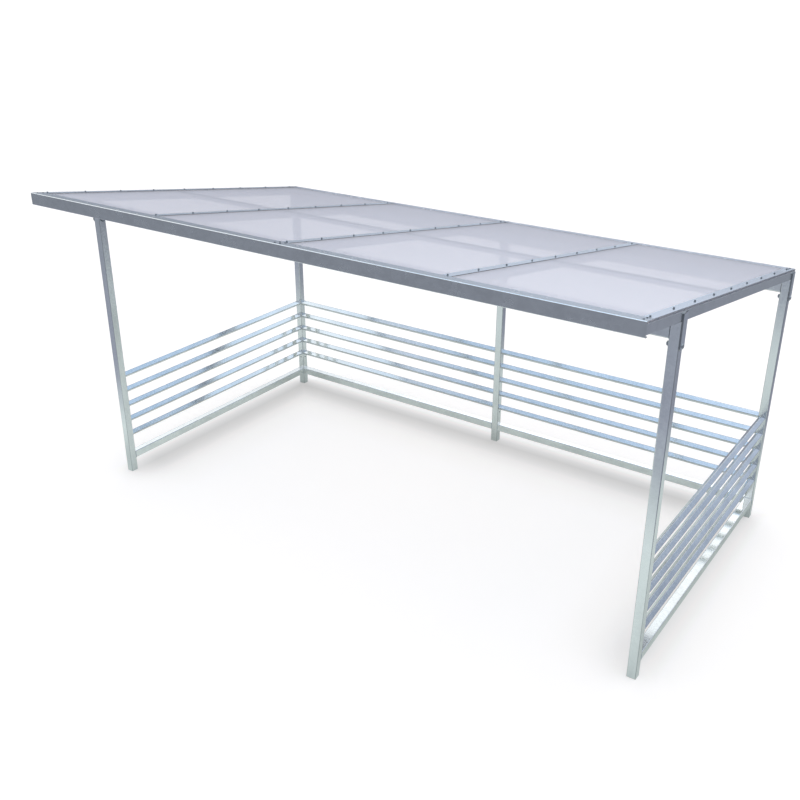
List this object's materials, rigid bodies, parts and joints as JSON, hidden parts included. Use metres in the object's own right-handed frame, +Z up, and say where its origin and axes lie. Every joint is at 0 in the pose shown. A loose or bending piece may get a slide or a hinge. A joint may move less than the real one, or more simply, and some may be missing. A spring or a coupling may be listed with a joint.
{
  "type": "bike shelter",
  "caption": "Open bike shelter: galvanised square-tube frame, clear lean-to roof panels and fences of square rails set on edge.",
  "frame": {"origin": "on the ground under the centre of the roof", "axes": "+X along the shelter, to the right seen from its open side; +Y to the rear; +Z up"},
  "size_m": [4.628, 2.85, 2.474],
  "materials": {
    "tube": "hot-dip galvanised, satin",
    "rail": "hot-dip galvanised, semi-bright",
    "fascia": "hot-dip galvanised, dull",
    "strip": "mill finish, satin",
    "ear": "hot-dip galvanised, satin",
    "panel": "clear twin-wall polycarbonate sheet, hazy",
    "bolt": "zinc plated"
  },
  "bodies": {
    "root": {"post_front_left": "tube", "post_front_right": "tube", "post_rear_left": "tube", "post_rear_middle": "tube", "post_rear_right": "tube", "cross_beam_front": "tube", "cross_beam_rear": "tube", "side_beam_left": "tube", "side_beam_right": "tube", "rafter_left": "tube", "rafter_middle": "tube", "rafter_right": "tube", "purlin_bay_1": "tube", "purlin_bay_2": "tube", "purlin_bay_3": "tube", "purlin_bay_4": "tube", "bottom_rail_left": "tube", "bottom_rail_right": "tube", "bottom_rail_rear_left": "tube", "bottom_rail_rear_right": "tube", "rails_left": "rail", "rails_right": "rail", "rails_rear_left": "rail", "rails_rear_right": "rail", "fascia_front": "fascia", "fascia_rear": "fascia", "strip_left": "strip", "strip_seam_left": "strip", "strip_seam_middle": "strip", "strip_seam_right": "strip", "strip_right": "strip", "ear_front_left": "ear", "ear_front_right": "ear", "ear_rear_left": "ear", "ear_rear_right": "ear", "roof_panel_1": "panel", "roof_panel_2": "panel", "roof_panel_3": "panel", "roof_panel_4": "panel", "post_bolts": "bolt", "post_nuts": "bolt"}
  },
  "joints": []
}
